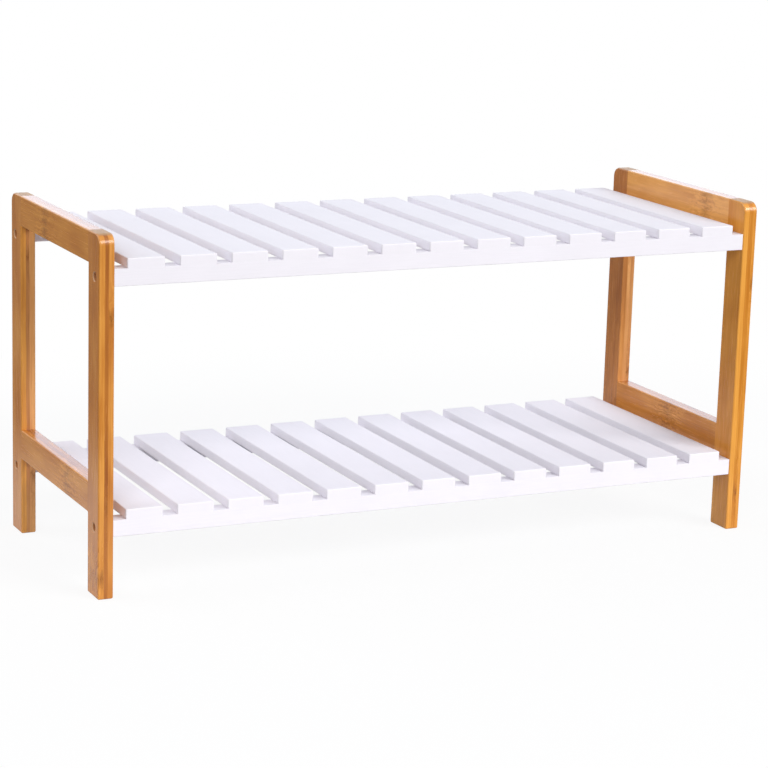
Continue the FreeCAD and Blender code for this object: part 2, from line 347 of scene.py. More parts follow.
def step_end(drill, direction, inset, length, end_scale=1.0):
    """Draws the end face of a drill that looks along direction into a narrower or tapered step."""
    bpy.ops.object.mode_set(mode="EDIT")
    bpy.ops.mesh.select_mode(type="FACE")
    bpy.ops.mesh.select_all(action="DESELECT")
    mesh = bmesh.from_edit_mesh(drill.data)
    for face in mesh.faces:
        face.select_set(face.normal.dot(direction) > SQUARE_ON)
    bmesh.update_edit_mesh(drill.data)
    if inset > 0:
        bpy.ops.mesh.inset(thickness=inset)
    bpy.ops.mesh.extrude_region_move(TRANSFORM_OT_translate={"value": direction * length})
    if end_scale != 1.0:
        bpy.ops.transform.resize(value=(end_scale,) * 3)
    bpy.ops.object.mode_set(mode="OBJECT")


def start_drill(radius, start, end):
    """Adds a round drill between two points, with its place in its mesh."""
    reach = end - start
    turn = reach.to_track_quat("Z", "Y").to_euler()
    bpy.ops.object.select_all(action="DESELECT")
    bpy.ops.mesh.primitive_cylinder_add(
        vertices=HOLE_SIDES, radius=radius, depth=reach.length, location=(start + end) / 2, rotation=turn)
    bpy.ops.object.transform_apply(location=True, rotation=True, scale=True)
    return bpy.context.active_object


def apply_modifier(piece, kind, **options):
    """Adds a modifier to a piece, sets it and applies it."""
    pick_only(piece)
    modifier = piece.modifiers.new(kind.title(), kind)
    for option, value in options.items():
        setattr(modifier, option, value)
    bpy.ops.object.modifier_apply(modifier=modifier.name)


def pick_only(piece):
    """Selects a piece alone and makes it active."""
    bpy.ops.object.select_all(action="DESELECT")
    piece.select_set(True)
    bpy.context.view_layer.objects.active = piece


def drill_out(piece, drill):
    """Takes the shape of a drill out of a piece and removes the drill."""
    apply_modifier(piece, "BOOLEAN", object=drill, operation="DIFFERENCE", solver="EXACT")
    discard(drill)


def bore(piece, radius, mouth, reach):
    """Drills a plain hole into a piece, from its mouth as far as reach."""
    drill = start_drill(radius, mouth - reach.normalized() * OVERRUN, mouth + reach)
    drill_out(piece, drill)


def copied(piece, move=(0, 0, 0), mirror=(1, 1, 1)):
    """A copy of a piece with its own mesh, mirrored about the middle of the bench and then moved."""
    pick_only(piece)
    bpy.ops.object.duplicate(linked=False)
    copy = bpy.context.active_object
    copy.scale = mirror
    copy.location = move
    bpy.ops.object.transform_apply(location=True, rotation=True, scale=True)
    bpy.ops.object.mode_set(mode="EDIT")
    bpy.ops.mesh.select_all(action="SELECT")
    bpy.ops.mesh.normals_make_consistent(inside=False)
    bpy.ops.object.mode_set(mode="OBJECT")
    return copy


def finish_piece(piece, name, node, material):
    """Names a piece, smooths its roundings, gives it its finish and sets it in place of its CAD node."""
    pick_only(piece)
    piece.name = name
    piece.data.name = name
    bpy.ops.object.shade_smooth_by_angle(angle=SMOOTH_ANGLE)
    apply_modifier(piece, "WEIGHTED_NORMAL", mode="FACE_AREA", weight=100, keep_sharp=True)
    piece.data.materials.clear()
    piece.data.materials.append(material)
    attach(piece, BODY)
    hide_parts(node)


def discard(piece):
    """Removes a drill, or a pattern that copies were taken from, with its mesh."""
    mesh = piece.data
    bpy.data.objects.remove(piece)
    bpy.data.meshes.remove(mesh)


def lay_grain(piece, node, corner, along, across, through):
    """Stores where each point lies in its bamboo stock, in millimetres, and the strips of that stock."""
    places = []
    for vertex in piece.data.vertices:
        offset = (vertex.co - corner) / MM
        places += [offset.dot(along) + CUT_FROM[node], offset.dot(across), offset.dot(through)]
    tones, strengths, starts, nodes = LAMINATION[node]
    count = len(piece.data.vertices)
    store_vectors(piece, "grain", places)
    store_vectors(piece, "strip_tones", tones * count)
    store_vectors(piece, "strip_strengths", strengths * count)
    store_vectors(piece, "strip_starts", (*starts, 0.0) * count)
    store_vectors(piece, "strip_nodes", tuple(place + CUT_FROM[node] for place in nodes) * count)


def store_vectors(piece, name, values):
    """Stores a vector for each point of a piece, from one flat list of numbers."""
    attribute = piece.data.attributes.new(name, "FLOAT_VECTOR", "POINT")
    attribute.data.foreach_set("vector", values)


def mark_bores(piece, axes):
    """Marks the faces in the counterbores along X and on their chamfers, given each axis's Y and Z."""
    wall = COUNTERBORE_RADIUS + TINY
    mouth = COUNTERBORE_RADIUS + COUNTERBORE_CHAMFER + TINY
    marks = []
    for face in piece.data.polygons:
        corners = [piece.data.vertices[index].co for index in face.vertices]
        reach = min(max(math.hypot(co.y - y, co.z - z) for co in corners) for y, z in axes)
        marks.append(IN_BORE if reach < wall else ON_CHAMFER if reach < mouth else 0.0)
    attribute = piece.data.attributes.new("bored", "FLOAT", "FACE")
    attribute.data.foreach_set("value", marks)


# Materials

# Noise in the bamboo: its scale along, across and through the grain, per millimetre
GLUE_LINE_NOISE = (0.02, 0.1, 0)
NODE_EDGE_NOISE = (0.05, 0.22, 0.22)
WANDER_NOISE = (0.010, 0.05, 0.05)
SWIRL_NOISE = (0.06, 0.12, 0.12)
STREAK_NOISE = (0.007, 0.42, 0.42)
FIBRE_NOISE = (0.03, 1.3, 1.3)
PORE_NOISE = (0.08, 2.2, 2.2)
EYE_NOISE = (0.2, 0.3, 0.3)
BREAK_NOISE = (0.02, 0.30, 0.30)
TUBE_NOISE = (0.2, 1.1, 1.1)
BLOTCH_NOISE = (0.014, 7.3, 0.04)  # along the grain, from strip to strip, and across the grain

# Where in their noise the pores and the breaks of the node marks start, so that they differ from the rest
PORE_START = (31, 7, 3)
BREAK_START = (3, 3, 3)

# Levels that the pores and the breaks come in between, and distances that an eye fades between
PORE_LEVELS = (0.60, 0.72)
BREAK_LEVELS = (0.28, 0.52)
EYE_EDGE = (0.14, 0.34)

# How far the glue lines, the culm nodes and the fibres swing from side to side, in millimetres
GLUE_LINE_SWING = 1.5
NODE_EDGE_SWING = 30.0
WANDER_SWING = 5.0
SWIRL_SWING = 16.0
GLUE_LINE_BLUR = 0.3

# How far from a culm node each of its marks starts to fade and is gone, in millimetres
FIGURE_REACH = (4, 50)
LINE_REACH = (0.4, 2.4)
SMUDGE_REACH = (1.0, 12.0)
EYE_REACH = (2.0, 8.0)

# How strong the marks of a culm node are
LINE_STRENGTH = 0.8
SMUDGE_STRENGTH = 0.6
MARK_STRENGTH = (0.55, 0.85)  # on wide and top faces, and on front and rear ones
MARK_DEPTH = 0.3  # beside the relief of the fibres

# How much the tone of the bamboo changes, where 0 is toasted and 1 is pale
BLOTCH_CONTRAST = 0.75
STREAK_CONTRAST = (0.40, 1.70)  # away from a node and at one
FRONT_CONTRAST = 0.72  # of the streaks on front and rear faces
FIBRE_CONTRAST = (0.20, 0.16)  # on narrow faces and on wide ones
PORE_DARKENING = 0.10
# Painted shade on the faces that look up or down: their tone is lowered so that they render darker
TOP_PAINTED_SHADE = 0.35
# Painted shade on the wide faces, which look along X: their tone is lowered so that they render darker than
# the lamps leave them
WIDE_PAINTED_SHADE = 0.21

# Cosines between which a rounding turns into a face or a cut end, and the finish of a cut end
FACE_TURN = (0.75, 0.98)
END_TURN = (0.80, 0.97)
END_STRENGTH = 0.8
END_ROUGHNESS = 0.55
TUBE_SHADE = 0.75  # how bright the tubes in the end grain are beside the rest of it

# Noise in the other finishes: its scale on X, Y and Z, per metre
RAIL_GRAIN = (40, 1500, 1500)
SLAT_GRAIN = (1500, 40, 1500)
PAINT_PEEL = (900, 900, 900)
PAINT_CLOUD = (22, 22, 22)
ZINC_PATCHES = (700, 700, 700)
BEECH_FIBRES = (1800, 60, 1800)
FLOOR_MOTTLE = (3, 3, 3)

# Finish of the paint, the zinc and the beech
CLOUD_SHARE = 0.4  # of the cloud in how thin the paint lies, beside the grain
PEEL_DEPTH = 0.35  # beside the relief of the grain
PAINT_SPECULAR = 0.18
ZINC_ROUGHNESS = (0.45, 0.28)  # of dull patches and of bright ones
BEECH_ROUGHNESS = (0.62, 0.52)  # in the grain lines and between them

# Relief of each finish: its depth, and how strongly it shows
BAMBOO_RELIEF = (0.03 * MM, 0.2)
PAINT_RELIEF = (0.05 * MM, 0.35)
ZINC_RELIEF = (0.02 * MM, 0.4)
BEECH_RELIEF = (0.05 * MM, 0.4)

# Levels that most of a noise and all but the whole of it lie between
MOST_NOISE = (0.3, 0.7)
WHOLE_NOISE = (0.2, 0.8)
SATIN_SWING = 0.05  # how far a satin finish strays from its roughness


class NodeSheet:
    """The node tree of a new material or world, with short ways to add to it."""

    def __init__(self, owner):
        owner.use_nodes = True
        self.owner = owner
        self.tree = owner.node_tree
        self.tree.nodes.clear()

    def add(self, kind, inputs=None, **options):
        """Adds a node, sets its options, and sets or links its inputs."""
        node = self.tree.nodes.new(kind)
        for option, value in options.items():
            setattr(node, option, value)
        for socket, value in (inputs or {}).items():
            self.feed(node.inputs[socket], value)
        return node

    def feed(self, socket, value):
        """Links an input to an output, or sets it to a plain value."""
        if isinstance(value, bpy.types.NodeSocket):
            self.tree.links.new(value, socket)
        else:
            socket.default_value = value

    def math(self, operation, first, second=0.0):
        """The result of one operation on one or two numbers."""
        return self.add("ShaderNodeMath", {0: first, 1: second}, operation=operation).outputs["Value"]

    def between(self, value, low, high, to_low=0.0, to_high=1.0):
        """A value brought smoothly from one range to another."""
        inputs = {"Value": value, "From Min": low, "From Max": high, "To Min": to_low, "To Max": to_high}
        return self.add("ShaderNodeMapRange", inputs, interpolation_type="SMOOTHSTEP").outputs["Result"]

    def fading(self, value, start, end, strength=1.0):
        """A strength that falls smoothly to nothing as a value goes from start to end."""
        return self.between(value, start, end, strength, 0.0)

    def centred(self, value, size):
        """A value from 0 to 1 turned into one about zero, of the given size."""
        return self.math("MULTIPLY", self.math("SUBTRACT", value, 0.5), size)

    def mix(self, factor, first, second):
        """A blend of two numbers."""
        node = self.add("ShaderNodeMix", {"Factor": factor, "A": first, "B": second}, data_type="FLOAT")
        return node.outputs["Result"]

    def tint(self, factor, first, second):
        """A blend of two colours."""
        node = self.add("ShaderNodeMix", {"Factor": factor, 6: first, 7: second}, data_type="RGBA")
        return node.outputs[2]

    def attribute(self, name):
        """The outputs with a value that is stored on the piece."""
        return self.add("ShaderNodeAttribute", attribute_name=name).outputs

    def split(self, vector):
        """The X, Y and Z of a vector."""
        return self.add("ShaderNodeSeparateXYZ", {"Vector": vector}).outputs

    def joined(self, x=0.0, y=0.0, z=0.0):
        """A vector of three numbers."""
        return self.add("ShaderNodeCombineXYZ", {"X": x, "Y": y, "Z": z}).outputs["Vector"]

    def vector_math(self, operation, first, second, result="Vector"):
        """The result of one operation on two vectors."""
        return self.add("ShaderNodeVectorMath", {0: first, 1: second}, operation=operation).outputs[result]

    def place(self):
        """Where a point lies, in metres."""
        return self.add("ShaderNodeTexCoord").outputs["Object"]

    def facing(self, axis):
        """How squarely a surface faces along an axis, either way, from 0 to 1."""
        normal = self.add("ShaderNodeTexCoord").outputs["Normal"]
        return self.math("ABSOLUTE", self.vector_math("DOT_PRODUCT", normal, axis, "Value"))

    def mapped(self, vector, scale, location=(0, 0, 0)):
        """A vector that is scaled and then moved."""
        inputs = {"Vector": vector, "Scale": scale, "Location": location}
        return self.add("ShaderNodeMapping", inputs).outputs["Vector"]

    def noise(self, vector, scale, location=(0, 0, 0), detail=2.0):
        """Soft noise from 0 to 1 over a vector that is scaled and then moved."""
        inputs = {"Vector": self.mapped(vector, scale, location), "Scale": 1.0, "Detail": detail}
        return self.add("ShaderNodeTexNoise", inputs).outputs["Fac"]

    def satin(self, noise, roughness):
        """A roughness that a noise varies a little."""
        return self.between(noise, *WHOLE_NOISE, roughness - SATIN_SWING, roughness + SATIN_SWING)

    def ramp(self, factor, stops):
        """A colour ramp through (position, colour) stops."""
        node = self.add("ShaderNodeValToRGB", {"Fac": factor})
        elements = node.color_ramp.elements
        while len(elements) < len(stops):
            elements.new(0.5)
        for element, (position, colour) in zip(elements, stops):
            element.position = position
            element.color = rgba(colour)
        return node.outputs["Color"]

    def bump(self, height, distance, strength):
        """The normals of a surface that a height of the given distance roughens."""
        inputs = {"Height": height, "Distance": distance, "Strength": strength}
        return self.add("ShaderNodeBump", inputs).outputs["Normal"]

    def surface(self, inputs):
        """A principled surface on the material's output."""
        shader = self.add("ShaderNodeBsdfPrincipled", inputs)
        self.add("ShaderNodeOutputMaterial", {"Surface": shader.outputs["BSDF"]})
        return self.owner


def rgba(colour):
    """A colour that lets nothing through."""
    return (*colour, 1.0)


class BambooSheet(NodeSheet):
    """The node tree of a bamboo finish, with the strips, culm nodes and faces that its steps share."""

    def __init__(self, owner, node_spacing):
        super().__init__(owner)
        self.grain = self.attribute("grain")["Vector"]
        place = self.split(self.grain)
        self.along, self.across, self.through = place["X"], place["Y"], place["Z"]
        self.wide_face = self.between(self.facing(X_AXIS), *FACE_TURN)
        self.front_face = self.between(self.facing(Y_AXIS), *FACE_TURN)
        self.top_face = self.between(self.facing(Z_AXIS), *FACE_TURN)
        self.find_strip()
        self.find_node(node_spacing)

    def find_strip(self):
        """Finds the strip that a point lies in, with slightly uneven glue lines."""
        uneven = self.centred(self.noise(self.grain, GLUE_LINE_NOISE), GLUE_LINE_SWING)
        depth = self.math("ADD", self.through, uneven)
        starts = self.split(self.attribute("strip_starts")["Vector"])
        into_middle = self.math("SUBTRACT", depth, starts["X"])
        into_inner = self.math("SUBTRACT", depth, starts["Y"])
        self.past_outer = self.between(into_middle, -GLUE_LINE_BLUR, GLUE_LINE_BLUR)
        self.past_middle = self.between(into_inner, -GLUE_LINE_BLUR, GLUE_LINE_BLUR)

    def of_strip(self, attribute):
        """The number that an attribute holds for the strip that a point lies in."""
        values = self.split(self.attribute(attribute)["Vector"])
        outer_or_middle = self.mix(self.past_outer, values["X"], values["Y"])
        return self.mix(self.past_middle, outer_or_middle, values["Z"])

    def find_node(self, spacing):
        """Finds how far the strip's nearest culm node is, in millimetres, and where its figure shows."""
        ragged = self.centred(self.noise(self.grain, NODE_EDGE_NOISE), NODE_EDGE_SWING)
        past_node = self.math("SUBTRACT", self.along, self.of_strip("strip_nodes"))
        past_node = self.math("ADD", past_node, ragged)
        self.from_node = self.math("PINGPONG", past_node, spacing / MM / 2)
        self.by_node = self.fading(self.from_node, *FIGURE_REACH)

    def fibres(self):
        """Streaks, fibres and pores along the grain, which sway most near a culm node."""
        wander = self.centred(self.noise(self.grain, WANDER_NOISE), WANDER_SWING)
        swirl = self.centred(self.noise(self.grain, SWIRL_NOISE), SWIRL_SWING)
        sway = self.math("ADD", wander, self.math("MULTIPLY", swirl, self.by_node))
        swayed = self.vector_math("ADD", self.grain, self.joined(y=sway, z=sway))
        streaks = self.noise(swayed, STREAK_NOISE)
        fibres = self.noise(swayed, FIBRE_NOISE)
        pores = self.between(self.noise(swayed, PORE_NOISE, PORE_START), *PORE_LEVELS)
        return streaks, fibres, pores

    def tone(self, streaks, fibres, pores):
        """How pale the bamboo is, with painted shade on the faces that look up or down and on the wide
        faces.
        """
        layer = self.math("ADD", self.past_outer, self.past_middle)
        blotches = self.noise(self.joined(self.along, layer, self.across), BLOTCH_NOISE)
        figure = self.mix(self.by_node, *STREAK_CONTRAST)
        figure = self.mix(self.front_face, figure, FRONT_CONTRAST)
        fineness = self.mix(self.wide_face, *FIBRE_CONTRAST)
        tone = self.of_strip("strip_tones")
        for noise, contrast in ((blotches, BLOTCH_CONTRAST), (streaks, figure), (fibres, fineness)):
            tone = self.math("ADD", tone, self.centred(noise, contrast))
        # Painted shade: faces that look up or down and the wide faces are darkened
        faces = ((self.top_face, TOP_PAINTED_SHADE), (self.wide_face, WIDE_PAINTED_SHADE))
        for where, darkening in ((pores, PORE_DARKENING), *faces):
            tone = self.math("SUBTRACT", tone, self.math("MULTIPLY", where, darkening))
        return tone

    def node_marks(self):
        """The marks of culm nodes: a thin broken line, a smudge round it and a few dark eyes."""
        line = self.fading(self.from_node, *LINE_REACH, LINE_STRENGTH)
        smudge = self.fading(self.from_node, *SMUDGE_REACH, SMUDGE_STRENGTH)
        patchy = self.between(self.noise(self.grain, BREAK_NOISE, BREAK_START), *BREAK_LEVELS)
        broken = self.math("MULTIPLY", self.math("MAXIMUM", line, smudge), patchy)
        spots = {"Vector": self.mapped(self.grain, EYE_NOISE), "Scale": 1.0}
        from_spot = self.add("ShaderNodeTexVoronoi", spots).outputs["Distance"]
        eyes = self.fading(from_spot, *EYE_EDGE)
        eyes = self.math("MULTIPLY", eyes, self.fading(self.from_node, *EYE_REACH))
        return self.math("MAXIMUM", broken, eyes)


def bamboo_material(name, end_axis):
    """Laminated bamboo under satin lacquer. end_axis is the way its grain runs."""
    settings = bpy.context.scene.bench_bamboo
    sheet = BambooSheet(bpy.data.materials.new(name), settings.node_spacing)
    streaks, fibres, pores = sheet.fibres()
    tone = sheet.tone(streaks, fibres, pores)
    colour = sheet.ramp(tone, [(0.0, settings.toasted), (0.5, settings.caramel), (1.0, settings.pale)])
    strength = {"Saturation": sheet.of_strip("strip_strengths"), "Color": colour}
    colour = sheet.add("ShaderNodeHueSaturation", strength).outputs["Color"]
    marks = sheet.node_marks()
    marked = sheet.math("MULTIPLY", marks, sheet.mix(sheet.front_face, *MARK_STRENGTH))
    colour = sheet.tint(marked, colour, rgba(settings.node_brown))
    # Cut ends and screw holes are bare
    cut_end = sheet.between(sheet.facing(end_axis), *END_TURN)
    tube_colour = [TUBE_SHADE * part for part in settings.end_grain]
    tubes = sheet.noise(sheet.grain, TUBE_NOISE)
    end_colour = sheet.ramp(tubes, [(0.35, tube_colour), (0.65, settings.end_grain)])
    colour = sheet.tint(sheet.math("MULTIPLY", cut_end, END_STRENGTH), colour, end_colour)
    bored = sheet.attribute("bored")["Fac"]
    colour = sheet.tint(sheet.between(bored, 0.0, ON_CHAMFER), colour, rgba(settings.bare))
    colour = sheet.tint(sheet.between(bored, ON_CHAMFER, IN_BORE), colour, rgba(settings.scorched))
    rough = sheet.mix(cut_end, sheet.satin(fibres, settings.lacquer_roughness), END_ROUGHNESS)
    relief = sheet.math("SUBTRACT", fibres, sheet.math("MULTIPLY", marks, MARK_DEPTH))
    return sheet.surface({
        "Base Color": colour,
        "Roughness": sheet.mix(bored, rough, 1.0),
        "Normal": sheet.bump(relief, *BAMBOO_RELIEF),
    })


def paint_material(name, grain_scale):
    """White satin paint through which the grain shows faintly."""
    settings = bpy.context.scene.bench_paint
    sheet = NodeSheet(bpy.data.materials.new(name))
    place = sheet.place()
    grain = sheet.noise(place, grain_scale, detail=3.0)
    peel = sheet.noise(place, PAINT_PEEL, detail=1.0)
    cloud = sheet.noise(place, PAINT_CLOUD, detail=1.0)
    thin = sheet.mix(CLOUD_SHARE, grain, cloud)
    relief = sheet.math("ADD", grain, sheet.math("MULTIPLY", peel, PEEL_DEPTH))
    return sheet.surface({
        "Base Color": sheet.ramp(thin, [(0.3, settings.shaded_white), (0.62, settings.white)]),
        "Roughness": sheet.satin(peel, settings.roughness),
        "Specular IOR Level": PAINT_SPECULAR,
        "Normal": sheet.bump(relief, *PAINT_RELIEF),
    })


def zinc_material():
    """Zinc plated steel with dull patches."""
    settings = bpy.context.scene.bench_hardware
    sheet = NodeSheet(bpy.data.materials.new("zinc_steel"))
    patches = sheet.noise(sheet.place(), ZINC_PATCHES, detail=3.0)
    return sheet.surface({
        "Base Color": sheet.ramp(patches, [(0.35, settings.dull_zinc), (0.65, settings.zinc)]),
        "Metallic": 1.0,
        "Roughness": sheet.between(patches, *MOST_NOISE, *ZINC_ROUGHNESS),
        "Normal": sheet.bump(patches, *ZINC_RELIEF),
    })


def beech_material():
    """Plain beech dowels, their grain along Y."""
    settings = bpy.context.scene.bench_hardware
    sheet = NodeSheet(bpy.data.materials.new("beech_dowel"))
    fibres = sheet.noise(sheet.place(), BEECH_FIBRES)
    return sheet.surface({
        "Base Color": sheet.ramp(fibres, [(0.35, settings.beech_grain), (0.6, settings.beech)]),
        "Roughness": sheet.between(fibres, *MOST_NOISE, *BEECH_ROUGHNESS),
        "Normal": sheet.bump(fibres, *BEECH_RELIEF),
    })


# The bamboo end frames


def rail_joints():
    """Low and high end of each stretch of a post that a side rail is joined to."""
    return [(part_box(node)[0].z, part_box(node)[1].z) for node in ("left_lower_rail", "left_top_rail")]


def dowel_heights(bottom, top):
    """Heights of the two dowels in the joint of a side rail."""
    return (bottom + DOWEL_MARGIN, top - DOWEL_MARGIN)


def frame_screw_axes():
    """Y of the left front frame screws, and their heights."""
    low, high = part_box("left_frame_screws")
    return low.y + SCREW_HEAD_RADIUS, (low.z + SCREW_HEAD_RADIUS, high.z - SCREW_HEAD_RADIUS)


def model_post():
    """The left front post: rounded top corner, edges eased where no rail joins, dowel and screw holes."""
    settings = bpy.context.scene.bench_bamboo
    low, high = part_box("left_front_post")
    joints = rail_joints()
    post = start_block(low, high)
    cut_across(post, [z for joint in joints for z in joint if z < high.z - TINY])

    def in_joint(point):
        return any(bottom < point.z < top for bottom, top in joints)

    def is_eased(edge):
        middle = edge_middle(edge)
        on_wide_face = abs(edge.verts[0].co.x - edge.verts[1].co.x) < TINY
        at_foot = abs(middle.z - low.z) < TINY
        at_joint = abs(middle.y - high.y) < TINY and in_joint(middle)
        return (on_wide_face or at_foot) and not at_joint and edge.calc_face_angle(0) > SHARP_ANGLE

    def is_joint_rim(edge):
        faces = [face for face in edge.link_faces if face.normal.y > SQUARE_ON]
        return any(in_joint(face.calc_center_median()) for face in faces)

    round_edges(post, lambda edge: is_front_top(edge, low, high), settings.corner_radius, CORNER_STEPS)
    round_edges(post, is_eased, settings.edge_radius, EDGE_STEPS)
    crease_edges(post, is_joint_rim)
    for joint in joints:
        for z in dowel_heights(*joint):
            mouth = Vector(((low.x + high.x) / 2, high.y, z))
            bore(post, DOWEL_HOLE_RADIUS, mouth, -Y_AXIS * DOWEL_HOLE_DEPTH)
    y, heights = frame_screw_axes()
    for z in heights:
        throat = Vector((low.x + COUNTERBORE_CHAMFER, y, z))
        seat = Vector((low.x + COUNTERBORE_DEPTH, y, z))
        drill = start_drill(COUNTERBORE_RADIUS, throat, seat)
        step_end(drill, X_AXIS, COUNTERBORE_RADIUS - NECK_HOLE_RADIUS, high.x - seat.x + OVERRUN)
        step_end(drill, -X_AXIS, 0, COUNTERBORE_CHAMFER, 1 + COUNTERBORE_CHAMFER / COUNTERBORE_RADIUS)
        step_end(drill, -X_AXIS, 0, OVERRUN)
        drill_out(post, drill)
    mark_bores(post, [(y, z) for z in heights])
    return post


def model_side_rail(node):
    """A left side rail: a bar between the posts, its long edges eased, with dowel holes in its ends."""
    settings = bpy.context.scene.bench_bamboo
    low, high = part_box(node)
    rail = start_block(low, high)
    round_edges(rail, lambda edge: runs_along(edge, Y_AXIS), settings.edge_radius, EDGE_STEPS)
    for y, inward in ((low.y, Y_AXIS), (high.y, -Y_AXIS)):
        for z in dowel_heights(low.z, high.z):
            mouth = Vector(((low.x + high.x) / 2, y, z))
            bore(rail, DOWEL_HOLE_RADIUS, mouth, inward * DOWEL_HOLE_DEPTH)
    return rail


class BENCH_OT_posts(bpy.types.Operator):
    """Model one bamboo post and copy it to the four corners"""

    bl_idname = "bench.posts"
    bl_label = "Bamboo posts"

    def execute(self, context):
        pattern = model_post()
        material = bamboo_material("post_bamboo", Z_AXIS)
        for side_name, side in SIDES.items():
            for end_name, end in ENDS.items():
                node = f"{side_name}_{end_name}_post"
                post = copied(pattern, mirror=(-side, -end, 1))
                low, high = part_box(node)
                corner = Vector((high.x if side > 0 else low.x, high.y if end > 0 else low.y, low.z))
                lay_grain(post, node, corner, Z_AXIS, -end * Y_AXIS, -side * X_AXIS)
                finish_piece(post, f"bamboo_{node}", node, material)
        discard(pattern)
        return {"FINISHED"}


class BENCH_OT_side_rails(bpy.types.Operator):
    """Model the top and lower bamboo side rail and copy them to both end frames"""

    bl_idname = "bench.side_rails"
    bl_label = "Bamboo side rails"

    def execute(self, context):
        material = bamboo_material("rail_bamboo", Y_AXIS)
        for level in ("top", "lower"):
            pattern = model_side_rail(f"left_{level}_rail")
            for side_name, side in SIDES.items():
                node = f"{side_name}_{level}_rail"
                rail = copied(pattern, mirror=(-side, 1, 1))
                low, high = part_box(node)
                corner = Vector((high.x if side > 0 else low.x, low.y, low.z))
                lay_grain(rail, node, corner, Y_AXIS, Z_AXIS, -side * X_AXIS)
                finish_piece(rail, f"bamboo_{node}", node, material)
            discard(pattern)
        return {"FINISHED"}


# The painted shelves


def model_shelf_rail():
    """The upper front shelf rail: long edges eased, a screw hole under each slat and one in each end."""
    settings = bpy.context.scene.bench_paint
    low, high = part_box("upper_front_rail")
    rail = start_block(low, high)

    def is_seam(edge):
        return is_front_top(edge, low, high)

    def is_eased(edge):
        return runs_along(edge, X_AXIS) and not is_seam(edge)

    round_edges(rail, is_eased, settings.rail_radius, EDGE_STEPS)
    round_edges(rail, is_seam, settings.seam_radius, EDGE_STEPS)
    middles = [sum(corner.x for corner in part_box(f"upper_slat_{number:02d}")) / 2 for number in SLATS]
    y = (low.y + high.y) / 2
    mouth = Vector((middles[0], y, low.z - OVERRUN))
    seat = Vector((middles[0], y, low.z + COUNTERSINK_SINK))
    drill = start_drill(COUNTERSINK_RADIUS, mouth, seat)
    taper = COUNTERSINK_RADIUS - SHANK_HOLE_RADIUS
    step_end(drill, Z_AXIS, 0, taper, SHANK_HOLE_RADIUS / COUNTERSINK_RADIUS)
    step_end(drill, Z_AXIS, 0, high.z - seat.z)
    pitch = (middles[-1] - middles[0]) / (len(middles) - 1)
    apply_modifier(
        drill, "ARRAY", count=len(middles), use_relative_offset=False, use_constant_offset=True,
        constant_offset_displace=(pitch, 0, 0))
    drill_out(rail, drill)
    screw_y, (_, screw_z) = frame_screw_axes()
    for x, inward in ((low.x, X_AXIS), (high.x, -X_AXIS)):
        bore(rail, PILOT_HOLE_RADIUS, Vector((x, screw_y, screw_z)), inward * PILOT_HOLE_DEPTH)
    return rail


def model_slat():
    """The first upper slat: edges eased but those that lie on the rails, a screw hole over each rail."""
    settings = bpy.context.scene.bench_paint
    low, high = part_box("upper_slat_01")
    slat = start_block(low, high)

    def is_seam(edge):
        return runs_along(edge, X_AXIS) and abs(edge_middle(edge).z - low.z) < TINY

    round_edges(slat, lambda edge: not is_seam(edge), settings.slat_radius, EDGE_STEPS)
    for end_name in ENDS:
        rail_low, rail_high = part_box(f"upper_{end_name}_rail")
        mouth = Vector(((low.x + high.x) / 2, (rail_low.y + rail_high.y) / 2, low.z))
        bore(slat, SHANK_HOLE_RADIUS, mouth, Z_AXIS * SLAT_HOLE_DEPTH)
    return slat


class BENCH_OT_shelf_rails(bpy.types.Operator):
    """Model one painted shelf rail and copy it to the front and rear of both shelves"""

    bl_idname = "bench.shelf_rails"
    bl_label = "Painted shelf rails"

    def execute(self, context):
        pattern = model_shelf_rail()
        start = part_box("upper_front_rail")[0]
        material = paint_material("rail_paint", RAIL_GRAIN)
        for shelf in SHELVES:
            for end_name, end in ENDS.items():
                node = f"{shelf}_{end_name}_rail"
                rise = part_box(node)[0].z - start.z
                rail = copied(pattern, move=(0, 0, rise), mirror=(1, -end, 1))
                finish_piece(rail, f"painted_{node}", node, material)
        discard(pattern)
        return {"FINISHED"}


class BENCH_OT_slats(bpy.types.Operator):
    """Model one painted slat and copy it along both shelves"""

    bl_idname = "bench.slats"
    bl_label = "Painted slats"

    def execute(self, context):
        pattern = model_slat()
        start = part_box("upper_slat_01")[0]
        material = paint_material("slat_paint", SLAT_GRAIN)
        for shelf in SHELVES:
            for number in SLATS:
                node = f"{shelf}_slat_{number:02d}"
                slat = copied(pattern, move=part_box(node)[0] - start)
                finish_piece(slat, f"painted_{node}", node, material)
        discard(pattern)
        return {"FINISHED"}


class BENCH_OT_hardware(bpy.types.Operator):
    """Give the screws and dowels their finish"""

    bl_idname = "bench.hardware"
    bl_label = "Screws and dowels"

    def execute(self, context):
        zinc = zinc_material()
        beech = beech_material()
        finishes = {f"{side}_frame_screws": zinc for side in SIDES}
        finishes.update({f"{shelf}_slat_screws": zinc for shelf in SHELVES})
        finishes.update({f"{side}_frame_dowels": beech for side in SIDES})
        for node, material in finishes.items():
            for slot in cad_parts[node].material_slots:
                slot.material = material
        return {"FINISHED"}


# The stage


